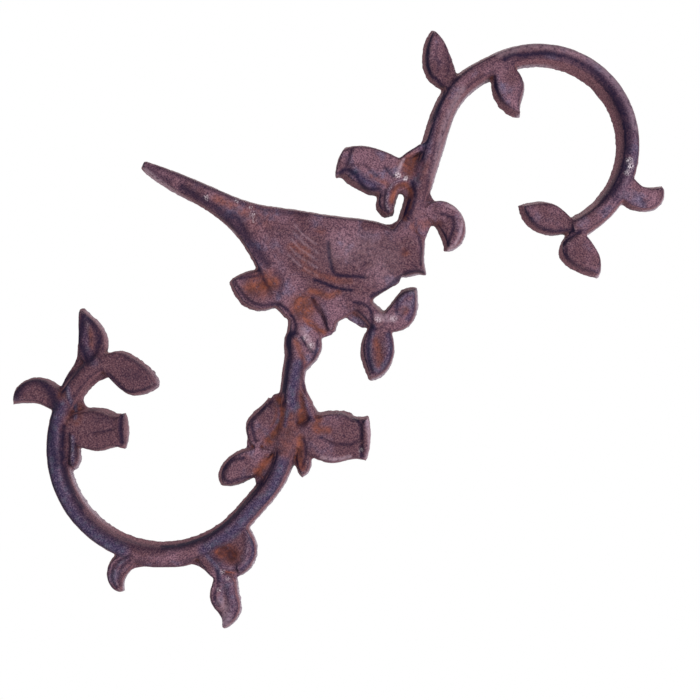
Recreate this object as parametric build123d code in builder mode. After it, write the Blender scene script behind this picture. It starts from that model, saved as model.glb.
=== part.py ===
from build123d import *
import os
from math import atan2, cos, radians, sin
from typing import NamedTuple

# A plant hook, sand-cast in iron as one piece: an S of rose vine with a bird on its middle.
# It hangs in the XZ plane, +Z up, with its flat back at y = 0 and its face towards -Y.
# The origin is the seat of the upper hook, the point that bears on the rail.
# Headings are degrees anticlockwise from +X, as seen from the front.

# The two hooks, in millimetres and degrees
UPPER_SEAT_R = 29.8        # inside radius of the hook that goes over a rail
LOWER_SEAT_R = 35.5        # inside radius of the hook that carries a basket
SEAT_TO_SEAT = 247.3       # from the rail to the basket's handle
UPPER_END = -17.0          # where the upper hook stops, at its pair of end leaves
UPPER_SHOULDER = 168.0     # where the upper hook runs out straight towards the neck
LOWER_START = 10.0         # where the stem runs into the lower hook
LOWER_END = 176.0          # where the lower hook stops, at its pair of end leaves

# The vine's section: drafted sides under a rounded ridge
VINE_W = 9.2               # width at the flat back
VINE_RIDGE_W = 5.8         # width where the sides meet the ridge
VINE_SIDE = 7.0            # height of the sides
VINE_DEPTH = 9.4           # from the back to the crest
RIDGE_FLATS = 4            # flats that round the ridge, each within 0.2 of a true arc

# The run of the vine between the hooks
NECK_X = -6.9              # end of the neck inside the bird's nape
NECK_DROP = 57.5           # the same point below the upper hook's centre
NECK_HEADING = 304.0       # the neck comes down to the bird from the left
NECK_BEND_R = 30.0
STEM_REACH = 23.0          # straight run from the lower hook up to the knot
STEM_BEND_R = 34.0
BIRD_RIGHT = 0.4           # the bird's nape from the end of the neck
PERCH_RIGHT = 0.4          # top of the stem from the nape
PERCH_DOWN = 53.0

# The form that leaves, petals, curls and the bird share: drafted walls and a bevelled rim
DRAFT = 1.3                # how much a wall leans in from the back to the bevel
BEVEL_W = 1.5              # width of the bevel that rounds the rim
BEVEL_H = 1.3              # height of that bevel
TIP_SET_BACK = 1.6         # a pointed tip draws back by this many times the inset

LEAF_DEPTH = 7.2
CURL_DEPTH = 7.6
BUD_DEPTH = 8.2
PETAL_RISE = 0.9           # an outer petal above the bud that it wraps
PETAL_START = 0.12         # share of the bud's midrib where that petal starts
PETAL_LENGTH = 0.84        # its length as a share of the bud's
PETAL_WRAP = 0.92          # its belly as a share of the bud's
PETAL_TURN = 4.0           # how far it turns to the left of the bud
LIP_W = 3.0                # the turned-out lip across a bud's mouth
LIP_FLARE = 0.2            # how far the lip stands out past the bud's sides
LIP_END = 0.15             # share of the lip's length that rounds each of its ends
BIRD_DEPTH = 8.4
FEATHER_RISE = 0.45        # each row of feathers above the one before
FEATHER_ROWS = 3
FEATHER_LENGTH = 48.0      # the top row of feathers
FEATHER_LOSS = 7.0         # how much shorter each next row is
FEATHER_FAN = 8.0          # how far each next row turns down
FEATHER_PITCH = 2.0        # how far each next row starts back and down
POCKET_FLOOR = 4.4         # metal left behind the hollow between belly and perch
WEB_DEPTH = 4.0            # metal left between the stems where the pattern closes
DISH_DEPTH = 1.3           # the valley along a dished leaf, deepest at its root
DISH_R = 7.0               # the radius across that valley
DISH_START = 0.1           # share of the midrib where it starts, inside the vine


class Frond(NamedTuple):
    """A leaf-like pad: a midrib with a belly on each side of it."""

    root: tuple            # start of the midrib, sunk in what carries it
    heading: float         # direction of the midrib at its root
    length: float
    left: tuple            # pairs of share along the midrib and width to its left
    right: tuple           # the same to its right
    depth: float = LEAF_DEPTH
    bend: float = 0.0      # how far the midrib turns from root to tip
    mouth: tuple = ()      # left and right half-widths of a blunt end
    dished: bool = False   # whether a valley runs along the midrib


def step(point, heading, distance, side=0.0):
    """Return the point a distance along a heading from another, and to the left by a side step."""
    angle = radians(heading)
    return (
        point[0] + distance * cos(angle) - side * sin(angle),
        point[1] + distance * sin(angle) + side * cos(angle),
    )


def shifted(point, right, up):
    """Return a point moved to the right and up."""
    return (point[0] + right, point[1] + up)


def crossing(first, first_heading, second, second_heading):
    """Return the point where two straight runs would meet."""
    a = radians(first_heading)
    b = radians(second_heading)
    gap = (second[0] - first[0]) * sin(b) - (second[1] - first[1]) * cos(b)
    return step(first, first_heading, gap / sin(b - a))


def on_midrib(frond, share, side=0.0):
    """Return the point at a share of a frond's midrib, and to its left by a side step."""
    turn = frond.bend * share
    chord = frond.length * share
    if frond.bend:
        chord = 2 * frond.length / radians(frond.bend) * sin(radians(turn) / 2)
    middle = step(frond.root, frond.heading + turn / 2, chord)
    return step(middle, frond.heading + turn, 0, side)


def narrowed(belly, inset):
    """Return a belly drawn in by an inset, less where the frond is slim, so that it never closes."""
    return belly * belly / (belly + inset)


def frond_face(frond, inset):
    """Draw a frond's outline at one height as the face of the sketch in progress."""
    reach = 1 - TIP_SET_BACK * inset / frond.length
    if frond.mouth:
        reach = 1 - inset / frond.length
    ends = frond.mouth or (0, 0)
    sides = []
    for pairs, end, sign in ((frond.left, ends[0], 1), (frond.right, ends[1], -1)):
        points = [on_midrib(frond, share * reach, sign * narrowed(belly, inset)) for share, belly in pairs]
        last = on_midrib(frond, reach, sign * narrowed(end, inset)) if end else on_midrib(frond, reach)
        sides.append([frond.root, *points, last])
    with BuildLine() as outline:
        Spline(*sides[0])
        if frond.mouth:
            Line(sides[0][-1], sides[1][-1])
        Spline(*reversed(sides[1]))
    make_face(outline.edges())


def frond_solid(frond):
    """Return the solid of a frond: drafted walls, a bevelled rim and, if dished, a valley."""
    rim = frond.depth - BEVEL_H
    with BuildPart() as pad:
        with BuildSketch(Plane.XZ):
            frond_face(frond, 0)
        with BuildSketch(Plane.XZ.offset(rim)):
            frond_face(frond, DRAFT)
        with BuildSketch(Plane.XZ.offset(frond.depth)):
            frond_face(frond, DRAFT + BEVEL_W)
        loft(ruled=True)
        if frond.dished:
            low = Vector(*on_midrib(frond, DISH_START), frond.depth + DISH_R - DISH_DEPTH)
            high = Vector(*on_midrib(frond, 1), frond.depth + DISH_R)
            low = Plane.XZ.from_local_coords(low)
            high = Plane.XZ.from_local_coords(high)
            with Locations(Plane(origin=low, z_dir=high - low)):
                Cylinder(
                    DISH_R, (high - low).length, mode=Mode.SUBTRACT,
                    align=(Align.CENTER, Align.CENTER, Align.MIN),
                )
    return pad.part


def ridge_points():
    """Return the points of the vine's ridge in its section, on an arc from one side over the crest."""
    half = VINE_RIDGE_W / 2
    rise = VINE_DEPTH - VINE_SIDE
    radius = (half * half + rise * rise) / (2 * rise)
    spread = atan2(half, radius - rise)
    turns = [spread * (1 - 2 * flat / RIDGE_FLATS) for flat in range(RIDGE_FLATS + 1)]
    return [(VINE_DEPTH - radius + radius * cos(turn), radius * sin(turn)) for turn in turns]


def vine_solid(path):
    """Return the vine's section swept along a path of tangent arcs and straight runs."""
    start = Plane(origin=path @ 0, x_dir=(0, -1, 0), z_dir=path % 0)
    with BuildPart() as vine:
        with BuildSketch(start):
            with BuildLine():
                Polyline((0, -VINE_W / 2), (0, VINE_W / 2), *ridge_points(), close=True)
            make_face()
        sweep(path=path)
    return vine.part


def web_solid(*corners):
    """Return a thin plate between stems, from its corners."""
    with BuildPart() as web:
        with BuildSketch(Plane.XZ):
            with BuildLine():
                Polyline(*corners, close=True)
            make_face()
        extrude(amount=WEB_DEPTH)
    return web.part


def web_about(point, *shifts):
    """Return a thin plate whose corners are given to the right of a point and above it."""
    return web_solid(*(shifted(point, right, up) for right, up in shifts))


# Datum points, in the XZ plane
UPPER_R = UPPER_SEAT_R + VINE_W / 2
LOWER_R = LOWER_SEAT_R + VINE_W / 2
UPPER = (0, -UPPER_SEAT_R)
LOWER = (0, LOWER_SEAT_R - SEAT_TO_SEAT)
NECK = (NECK_X, UPPER[1] - NECK_DROP)
BIRD = shifted(NECK, BIRD_RIGHT, 0)
PERCH = shifted(BIRD, PERCH_RIGHT, -PERCH_DOWN)
SHOULDER = step(UPPER, UPPER_SHOULDER, UPPER_R)
BEND = crossing(SHOULDER, UPPER_SHOULDER + 90, NECK, NECK_HEADING)
HIP = step(LOWER, LOWER_START, LOWER_R)
KNOT = step(HIP, LOWER_START + 90, STEM_REACH)


def on_upper(angle):
    """Return the point of the upper hook's centreline at an angle about its centre."""
    return step(UPPER, angle, UPPER_R)


def on_lower(angle):
    """Return the point of the lower hook's centreline at an angle about its centre."""
    return step(LOWER, angle, LOWER_R)


def on_neck(distance, side=0.0):
    """Return a point of the neck, a distance above its lower end and to the left of its run."""
    return step(NECK, NECK_HEADING, -distance, side)


# The two lengths of vine, and the stalk of the leaves in front of the bird
with BuildLine(Plane.XZ) as upper_path:
    CenterArc(UPPER, UPPER_R, UPPER_END, UPPER_SHOULDER - UPPER_END)
    FilletPolyline(SHOULDER, BEND, NECK, radius=NECK_BEND_R)
with BuildLine(Plane.XZ) as lower_path:
    FilletPolyline(PERCH, KNOT, HIP, radius=STEM_BEND_R)
    CenterArc(LOWER, LOWER_R, LOWER_START, LOWER_END - 360 - LOWER_START)
with BuildLine(Plane.XZ) as stalk_path:
    Line(shifted(BIRD, 2, -33.5), shifted(BIRD, 22.5, -31.2))

vines = [vine_solid(line.line) for line in (upper_path, lower_path, stalk_path)]

# Leaves on the upper hook: one inside, one outside and the pair at its end
upper_leaves = [
    Frond(
        on_upper(167), -15.5, 22.4,
        ((0.3, 6.2), (0.52, 6.3), (0.75, 2.8)), ((0.25, 5.2), (0.6, 6.3), (0.88, 3.6)),
    ),
    Frond(
        shifted(BEND, 1.5, 0.3), 160.5, 24.8,
        ((0.36, 8.2), (0.79, 5.4)), ((0.25, 3.2), (0.5, 3.4), (0.82, 2.8)), dished=True,
    ),
    Frond(
        on_upper(-13), 210.6, 23.9,
        ((0.3, 6.0), (0.56, 7.1), (0.83, 4.9)), ((0.27, 3.8), (0.52, 5.4), (0.86, 2.6)),
    ),
    Frond(
        on_upper(-11), -20.0, 21.3,
        ((0.34, 1.7), (0.7, 3.4), (0.88, 2.3)), ((0.15, 8.3), (0.36, 11.1), (0.69, 8.2), (0.88, 3.8)),
    ),
]

# Leaves on the lower hook: the pair at its end, the loop leaf, the long leaf on its stalk,
# a swelling of the vine beside it, and a sepal
lower_leaves = [
    Frond(
        on_lower(180), 155.0, 22.4,
        ((0.2, 5.4), (0.6, 4.0), (0.86, 2.6)), ((0.31, 6.3), (0.69, 5.0), (0.9, 1.9)),
        mouth=(1.6, 0.5), dished=True,
    ),
    Frond(
        on_lower(178), 30.0, 24.4,
        ((0.27, 7.5), (0.64, 6.4), (0.88, 4.0)), ((0.34, 5.5), (0.66, 7.2), (0.9, 3.6)),
    ),
    Frond(on_lower(7), -39.0, 21.0, ((0.18, 4.6), (0.53, 7.0), (0.8, 5.4)), ((0.33, 1.5), (0.71, 1.2))),
    Frond(on_lower(-20), 3.0, 20.0, ((0.5, 3.6),), ((0.5, 3.8),)),
    Frond(
        shifted(on_lower(-19), 12.4, 0.6), -37.4, 22.2,
        ((0.12, 6.0), (0.36, 6.6), (0.6, 7.6), (0.86, 5.2)), ((0.33, 4.6), (0.55, 4.3), (0.75, 1.2)),
        dished=True,
    ),
    Frond(
        on_lower(-58), 32.0, 30.0,
        ((0.5, 1.0),), ((0.2, 5.2), (0.5, 5.4), (0.8, 5.4)), VINE_SIDE + 0.5, bend=43,
    ),
    Frond(
        shifted(on_lower(222), 2.6, 3.4), -32.2, 15.4,
        ((0.35, 2.6), (0.75, 2.9)), ((0.35, 2.5), (0.75, 2.5)),
    ),
]

# Leaves at the knot: two on its left, a sepal under the bud, and the ridge that runs up to the bud
knot_leaves = [
    Frond(
        shifted(KNOT, -13, -1.4), 130.0, 19.4,
        ((0.22, 5.8), (0.42, 6.6), (0.75, 3.3)), ((0.36, 3.6), (0.69, 4.0)), dished=True,
    ),
    Frond(
        shifted(KNOT, -9, 2), 266.0, 24.0,
        ((0.3, 4.0), (0.56, 4.6), (0.87, 2.6)), ((0.32, 6.3), (0.62, 7.4), (0.87, 5.5)), dished=True,
    ),
    Frond(shifted(KNOT, -4, 13.7), -43.3, 14.5, ((0.35, 2.7), (0.64, 3.4)), ((0.35, 3.0), (0.7, 2.8))),
    Frond(
        shifted(KNOT, -22.5, 25.4), -16.0, 20.0,
        ((0.35, 1.6), (0.75, 2.8)), ((0.5, 2.2),), VINE_SIDE + 0.8,
    ),
]

# Leaves about the bird: the pair in front of it, the one under it and the fold on top of the stem
bird_leaves = [
    Frond(
        shifted(BIRD, 23.0, -32.0), 99.5, 20.8,
        ((0.2, 3.0), (0.46, 3.5), (0.78, 3.7)), ((0.2, 6.4), (0.43, 7.8), (0.75, 5.3)),
        LEAF_DEPTH - 0.3, dished=True,
    ),
    Frond(
        shifted(BIRD, 20.5, -29.4), -51.0, 24.2,
        ((0.4, 7.0), (0.75, 6.7), (0.91, 4.4)), ((0.42, 5.9), (0.65, 5.1), (0.88, 1.9)),
        LEAF_DEPTH + 0.3, dished=True,
    ),
    Frond(
        shifted(BIRD, -12.0, -47.9), 230.0, 23.4,
        ((0.38, 10.9), (0.65, 10.6), (0.89, 6.0)), ((0.42, 4.8), (0.67, 4.4)), dished=True,
    ),
    Frond(
        shifted(BIRD, 5.5, -51.7), -56.3, 21.6,
        ((0.46, 6.6), (0.7, 4.8)), ((0.31, 8.4), (0.55, 7.4)), dished=True,
    ),
]

# Curls that spring from the vine: three at its upper half, two at the lower hook, and a tendril
curls = [
    Frond(
        on_upper(24), 1.0, 19.6,
        ((0.25, 6.2), (0.5, 4.7), (0.75, 3.0)), ((0.25, 4.4), (0.5, 5.6), (0.75, 5.5), (0.93, 2.6)),
        CURL_DEPTH, bend=105,
    ),
    Frond(
        on_neck(6.3, 4.0), 75.0, 24.3,
        ((0.25, 5.2), (0.5, 5.6), (0.76, 4.2)), ((0.4, 5.8), (0.8, 4.6)),
        CURL_DEPTH, bend=-170,
    ),
    Frond(
        on_neck(17, -5.4), 258.6, 16.2,
        ((0.5, 1.8), (0.8, 1.5)), ((0.5, 4.8), (0.8, 5.8)),
        CURL_DEPTH, bend=80, mouth=(0.8, 2.6),
    ),
    Frond(
        on_lower(206), 185.5, 23.5,
        ((0.25, 6.0), (0.5, 5.0), (0.75, 3.5)), ((0.25, 3.8), (0.5, 5.5), (0.75, 4.8)),
        CURL_DEPTH, bend=95,
    ),
    Frond(
        on_lower(-53), -101.0, 18.5,
        ((0.3, 4.0), (0.5, 3.4), (0.8, 1.6)), ((0.3, 4.2), (0.5, 5.5), (0.8, 4.5)),
        CURL_DEPTH, bend=85, mouth=(0.8, 0.8),
    ),
    Frond(on_neck(33, -1.5), 263.0, 17.0, ((0.5, 2.2),), ((0.5, 1.5),), CURL_DEPTH),
]

# Rosebuds, each with an outer petal and a turned-out lip
buds = [
    Frond(
        on_neck(17, -2), 214.4, 29.5,
        ((0.42, 9.3), (0.55, 9.5), (0.75, 8.0), (0.92, 6.5)), ((0.325, 7.3), (0.52, 8.1), (0.75, 8.0)),
        BUD_DEPTH, mouth=(7.0, 5.2),
    ),
    Frond(
        shifted(KNOT, -9.6, 9.6), 48.8, 30.4,
        ((0.36, 9.0), (0.66, 10.2), (0.84, 8.6)), ((0.36, 8.3), (0.62, 9.8), (0.83, 8.1)),
        BUD_DEPTH, mouth=(9.0, 8.4),
    ),
    Frond(
        on_lower(222), 51.5, 25.2,
        ((0.39, 8.5), (0.63, 8.6), (0.86, 6.6)), ((0.37, 6.7), (0.7, 7.6), (0.86, 6.4)),
        BUD_DEPTH, mouth=(6.7, 7.3),
    ),
]


def bud_dress(bud):
    """Return the fronds on a bud's face: the outer petal on its left half, and the lip on its mouth."""
    wrap = tuple((share, PETAL_WRAP * belly) for share, belly in bud.left)
    petal = Frond(
        on_midrib(bud, PETAL_START), bud.heading + PETAL_TURN, PETAL_LENGTH * bud.length,
        wrap, ((0.35, 2.6), (0.7, 1.8)), bud.depth + PETAL_RISE,
    )
    lip = Frond(
        on_midrib(bud, 1, bud.mouth[0] + LIP_FLARE), bud.heading - 90, sum(bud.mouth) + 2 * LIP_FLARE,
        ((LIP_END, LIP_W / 4), (1 - LIP_END, LIP_W / 4)),
        ((LIP_END, LIP_W * 3 / 4), (1 - LIP_END, LIP_W * 3 / 4)), bud.depth + PETAL_RISE,
    )
    return [petal, lip]


# The bird: body with tail, head with beak, nape, rows of wing feathers and a foot
body = [
    Frond(
        shifted(BIRD, 14.1, -16.2), 206.0, 107.0,
        (
            (0.05, 8.0), (0.12, 20.4), (0.215, 29.9), (0.354, 28.4), (0.489, 17.0),
            (0.602, 9.4), (0.73, 5.7), (0.871, 4.9), (0.96, 3.4),
        ),
        ((0.114, 18.3), (0.298, 13.5), (0.46, 8.4), (0.584, 4.6), (0.748, 3.4), (0.92, 2.4)),
        BIRD_DEPTH, mouth=(2.2, 1.4),
    ),
    Frond(
        shifted(BIRD, -5.5, -12.7), 15.3, 25.4,
        ((0.35, 9.4), (0.62, 11.2), (0.8, 5.2), (0.9, 2.4)), ((0.3, 6.0), (0.79, 4.2), (0.88, 1.4)),
        BIRD_DEPTH + FEATHER_RISE,
    ),
    Frond(
        on_neck(9), NECK_HEADING - 6, 27.0,
        ((0.3, 4.4), (0.6, 5.0)), ((0.3, 3.2), (0.6, 4.8)), VINE_DEPTH - 0.6,
    ),
]
feathers = [
    Frond(
        shifted(BIRD, 5 - FEATHER_PITCH * row, -26 - FEATHER_PITCH * row),
        199.0 + FEATHER_FAN * row, FEATHER_LENGTH - FEATHER_LOSS * row,
        ((0.35, 4.6), (0.7, 3.8)), ((0.35, 4.6), (0.7, 3.6)),
        BIRD_DEPTH + FEATHER_RISE * (FEATHER_ROWS - row),
    )
    for row in range(FEATHER_ROWS)
]
foot = Frond(
    shifted(BIRD, -2, -41.5), -25.0, 16.0,
    ((0.2, 3.5), (0.45, 5.4), (0.75, 4.4)), ((0.3, 1.8), (0.7, 1.4)), BIRD_DEPTH - 0.5, mouth=(2.2, 1.2),
)

with BuildPart() as bird:
    add([frond_solid(frond) for frond in body + feathers])
    with BuildSketch(Plane.XZ.offset(POCKET_FLOOR)):
        with BuildLine():
            Spline(
                shifted(BIRD, -5.5, -49.5), shifted(BIRD, -3, -45.5), shifted(BIRD, 4, -45),
                shifted(BIRD, 11, -48.5), shifted(BIRD, 4, -52), shifted(BIRD, -2, -53.5), periodic=True,
            )
        make_face()
    extrude(amount=BIRD_DEPTH, mode=Mode.SUBTRACT)

# Thin metal between the stems: at both sides of the neck, at the knot, in the loop leaf,
# under the stalk and under the foot, and in the corners of the lower hook and of the knot
webs = [
    web_solid(on_neck(31, -5), on_neck(24, -10), on_neck(13, -9), on_neck(9, -2), on_neck(31, 0)),
    web_solid(on_neck(16, 3), on_neck(8, 10), on_neck(2, 8), on_neck(-4, 7.5), on_neck(-6, 3)),
    web_about(BIRD, (-10, -10.3), (-6.8, -7), (-4.9, -4), (-4.6, -1), (0, -2), (0, -12)),
    web_about(
        KNOT, (-22, 22), (-9, 23.5), (3, 12), (-0.5, 3), (-3.1, -10.8), (-14, -3), (-23, 11), (-25, 15.4),
    ),
    web_about(on_lower(-8), (2, 11), (14, 6), (16, -3), (4, -11)),
    web_about(BIRD, (8, -36), (12.6, -39.6), (18.5, -37.4), (21, -34)),
    web_about(BIRD, (5, -46), (12.4, -46), (13.3, -48), (12.2, -51), (10, -54), (4, -53)),
    web_about(on_lower(180), (-2, -15.5), (-4, -11), (-5.3, -6.5), (-7, -3.5), (-10.2, -0.6), (1.5, -5)),
    web_about(on_lower(180), (6.1, 1.7), (5.9, -1), (5, -3.3), (5.3, -6), (1, -2)),
    web_about(on_lower(206), (1.8, 6.2), (3.2, 5.0), (5.2, 4.6), (8, 5.2), (2, 0)),
    web_about(on_lower(-53), (4.4, -8.9), (4, -6.8), (4.5, -4.6), (6.2, -1.6), (0, -4)),
    web_about(on_lower(-20), (1.6, -6.7), (3.8, -4.9), (6.1, -3.5), (8.6, -2.8), (4, 0)),
    web_about(KNOT, (-17.8, -3.2), (-16, -4.5), (-15.1, -6.3), (-12, -3)),
    web_about(KNOT, (-21.9, 28), (-18.9, 26.4), (-16.1, 25.6), (-13.4, 25.3), (-17, 22)),
]

fronds = upper_leaves + lower_leaves + knot_leaves + bird_leaves + curls + buds + [foot]
for bud in buds:
    fronds += bud_dress(bud)
pads = [frond_solid(frond) for frond in fronds]

with BuildPart() as plant_hook:
    add(vines)
    add(webs)
    add(bird.part)
    add(pads)

plant_hook.part.label = "plant_hook"
os.makedirs("parts", exist_ok=True)
export_step(plant_hook.part, "parts/plant_hook.step")
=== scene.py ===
import logging
import math
from dataclasses import dataclass
from enum import Enum

import bpy
import numpy as np
from mathutils import Matrix, Vector


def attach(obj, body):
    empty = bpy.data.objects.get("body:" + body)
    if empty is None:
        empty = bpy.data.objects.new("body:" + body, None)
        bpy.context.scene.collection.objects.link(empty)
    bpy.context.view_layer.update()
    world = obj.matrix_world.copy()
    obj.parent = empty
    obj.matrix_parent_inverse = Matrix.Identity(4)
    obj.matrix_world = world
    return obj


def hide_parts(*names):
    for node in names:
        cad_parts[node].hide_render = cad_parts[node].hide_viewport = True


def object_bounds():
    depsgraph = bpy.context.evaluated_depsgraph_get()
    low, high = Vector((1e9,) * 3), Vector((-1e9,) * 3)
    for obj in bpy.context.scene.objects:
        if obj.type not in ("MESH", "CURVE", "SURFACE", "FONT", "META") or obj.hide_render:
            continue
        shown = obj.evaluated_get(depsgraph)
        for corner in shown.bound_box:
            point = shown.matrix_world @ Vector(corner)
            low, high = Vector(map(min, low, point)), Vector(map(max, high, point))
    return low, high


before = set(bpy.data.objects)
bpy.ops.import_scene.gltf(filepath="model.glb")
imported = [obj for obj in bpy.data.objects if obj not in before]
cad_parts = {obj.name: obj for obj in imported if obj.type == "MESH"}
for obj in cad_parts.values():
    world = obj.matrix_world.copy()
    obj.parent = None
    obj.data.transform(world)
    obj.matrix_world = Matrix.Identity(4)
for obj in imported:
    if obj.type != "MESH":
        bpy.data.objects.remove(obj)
cad_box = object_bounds()

# The look of a plant hook that was sand-cast in iron and antiqued: an S of rose vine with a bird.
# The hook hangs in the XZ plane with its face towards -Y, so its relief rises towards -Y.

MM = 0.001
SPOT_CORE = 0.35        # share of a spot's radius that has its full weight
LEAST_WEIGHT = 0.01     # weight under which a point stays out of a vertex group
LEAST_LEAN = 0.05       # lean under which a slope faces no side
SMOOTHING = 0.5         # how far a round of smoothing moves a point towards its neighbours' mean
log = logging.getLogger("plant_hook")

# Points of a line, x and z in millimetres, and the two ends between which something comes in
Line = tuple[tuple[float, float], ...]
Range = tuple[float, float]


class Tone(Enum):
    """The colour that a stroke holds."""

    # The dark tone is wax in the carved lines and also painted shade; the light tone is a painted highlight
    WAX = "wax_and_shade"
    SLATE = "slate"
    LIGHT = "light"
    RUST = "rust"
    BROWN = "brown"


class Pattern(Enum):
    """The patterns that break a finish up, from the finest to the widest."""

    GRAIN = "grain"
    SPECKLE = "speckle"
    MOTTLE = "mottle"
    BLOOM = "bloom"
    CLOUD = "cloud"


class Join(Enum):
    """How a layer's mark and its pattern go together, as an operation on the two."""

    BOTH = "MULTIPLY"
    EITHER = "ADD"


@dataclass(frozen=True)
class Layer:
    """One layer of a finish, laid over what is under it.

    Attributes:
        colour: its colour.
        mark: the piece's attribute that says where it is, or nothing if it is everywhere.
        pattern: the pattern that breaks it up, if any.
        low: the pattern's value where there is none of it.
        high: the pattern's value where there is all of it.
        share: its weight.
        join: how mark and pattern go together.
        over: layers that lie on its own colour.
    """

    colour: str
    mark: str = ""
    pattern: Pattern | None = None
    low: float = 0.0
    high: float = 1.0
    share: float = 1.0
    join: Join = Join.BOTH
    over: tuple["Layer", ...] = ()


@dataclass(frozen=True)
class Stroke:
    """One stroke on the face: the tool's mark and the colour along it, painted shade and highlights too.

    Attributes:
        points: places the stroke passes through, x and z in millimetres.
        width: half the width of its mark, in millimetres.
        depth: how far it goes in, or stands out if less than 0, in millimetres.
        tone: the colour that it holds.
        strength: that colour's weight along its middle, from 0 to 1.
    """

    points: Line
    width: float
    depth: float = 0.0
    tone: Tone = Tone.WAX
    strength: float = 0.7


@dataclass(frozen=True)
class Spot:
    """A round place on the face, such as a patch of rust.

    Attributes:
        place: its middle, x and z in millimetres.
        radius: where it has faded out, in millimetres.
        strength: its weight in the middle, from 0 to 1.
    """

    place: tuple[float, float]
    radius: float
    strength: float = 1.0


def linear(hex_colour: str) -> tuple[float, float, float, float]:
    """Turn an sRGB hex colour into linear light.

    Args:
        hex_colour: six hex digits after a hash sign.

    Returns:
        Red, green, blue and alpha for a shader socket.
    """
    values = [int(hex_colour[i : i + 2], 16) / 255 for i in (1, 3, 5)]
    light = [v / 12.92 if v <= 0.04045 else ((v + 0.055) / 1.055) ** 2.4 for v in values]
    return (*light, 1.0)


def add_node(
    tree: bpy.types.NodeTree,
    kind: str,
    settings: dict[str, object] | None = None,
    links: dict[str | int, object] | None = None,
) -> bpy.types.Node:
    """Add a node with its settings, values and links.

    Args:
        tree: the node tree that takes it.
        kind: Blender's name of the node type.
        settings: properties of the node itself.
        links: input name or number to a value, or to the output socket that feeds it.

    Returns:
        The new node.
    """
    node = tree.nodes.new(kind)
    for name, value in (settings or {}).items():
        setattr(node, name, value)
    for name, value in (links or {}).items():
        if isinstance(value, bpy.types.NodeSocket):
            tree.links.new(value, node.inputs[name])
        else:
            node.inputs[name].default_value = value
    return node


def smooth_path(points: Line, pitch: float = 0.3) -> np.ndarray:
    """Draw a smooth line, a Catmull-Rom spline, through a stroke's points.

    Args:
        points: the places it passes through, in millimetres.
        pitch: distance between the places returned, in millimetres.

    Returns:
        An array of places along the line, x and z.
    """
    if len(points) < 2:
        return np.array(points, float)
    knots = np.array([points[0], *points, points[-1]], float)
    line = []
    for before, start, end, after in zip(knots, knots[1:], knots[2:], knots[3:]):
        count = max(2, int(np.linalg.norm(end - start) / pitch))
        t = np.linspace(0, 1, count, endpoint=False)[:, None]
        line.append(
            0.5 * (2 * start + (end - before) * t
                   + (2 * before - 5 * start + 4 * end - after) * t ** 2
                   + (3 * start - before - 3 * end + after) * t ** 3)
        )
    return np.vstack([*line, knots[-1:]])


def arc(
    centre: tuple[float, float], radius: float, start: float, end: float, pitch: float = 15.0,
) -> Line:
    """Return points along an arc.

    Args:
        centre: its centre, x and z in millimetres.
        radius: its radius in millimetres.
        start: where it starts, in degrees anticlockwise from +X.
        end: where it ends.
        pitch: about how far apart its points are, in degrees.

    Returns:
        The points.
    """
    count = max(2, round(abs(end - start) / pitch)) + 1
    turns = [math.radians(turn) for turn in np.linspace(start, end, count)]
    return tuple((centre[0] + radius * math.cos(t), centre[1] + radius * math.sin(t)) for t in turns)


def between(first: Line, last: Line, count: int) -> list[Line]:
    """Return lines that lead over from one line to another.

    Args:
        first: the first line's points.
        last: the last line's points, as many.
        count: how many lines there are in all.

    Returns:
        The lines, the first and the last among them.
    """
    a, b = np.array(first), np.array(last)
    return [tuple(map(tuple, a + (b - a) * share)) for share in np.linspace(0, 1, count)]


def fade(value: np.ndarray, low: float, high: float) -> np.ndarray:
    """Return 0 below low, 1 above high and a smooth step between them."""
    t = np.clip((value - low) / (high - low), 0, 1)
    return t * t * (3 - 2 * t)


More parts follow.
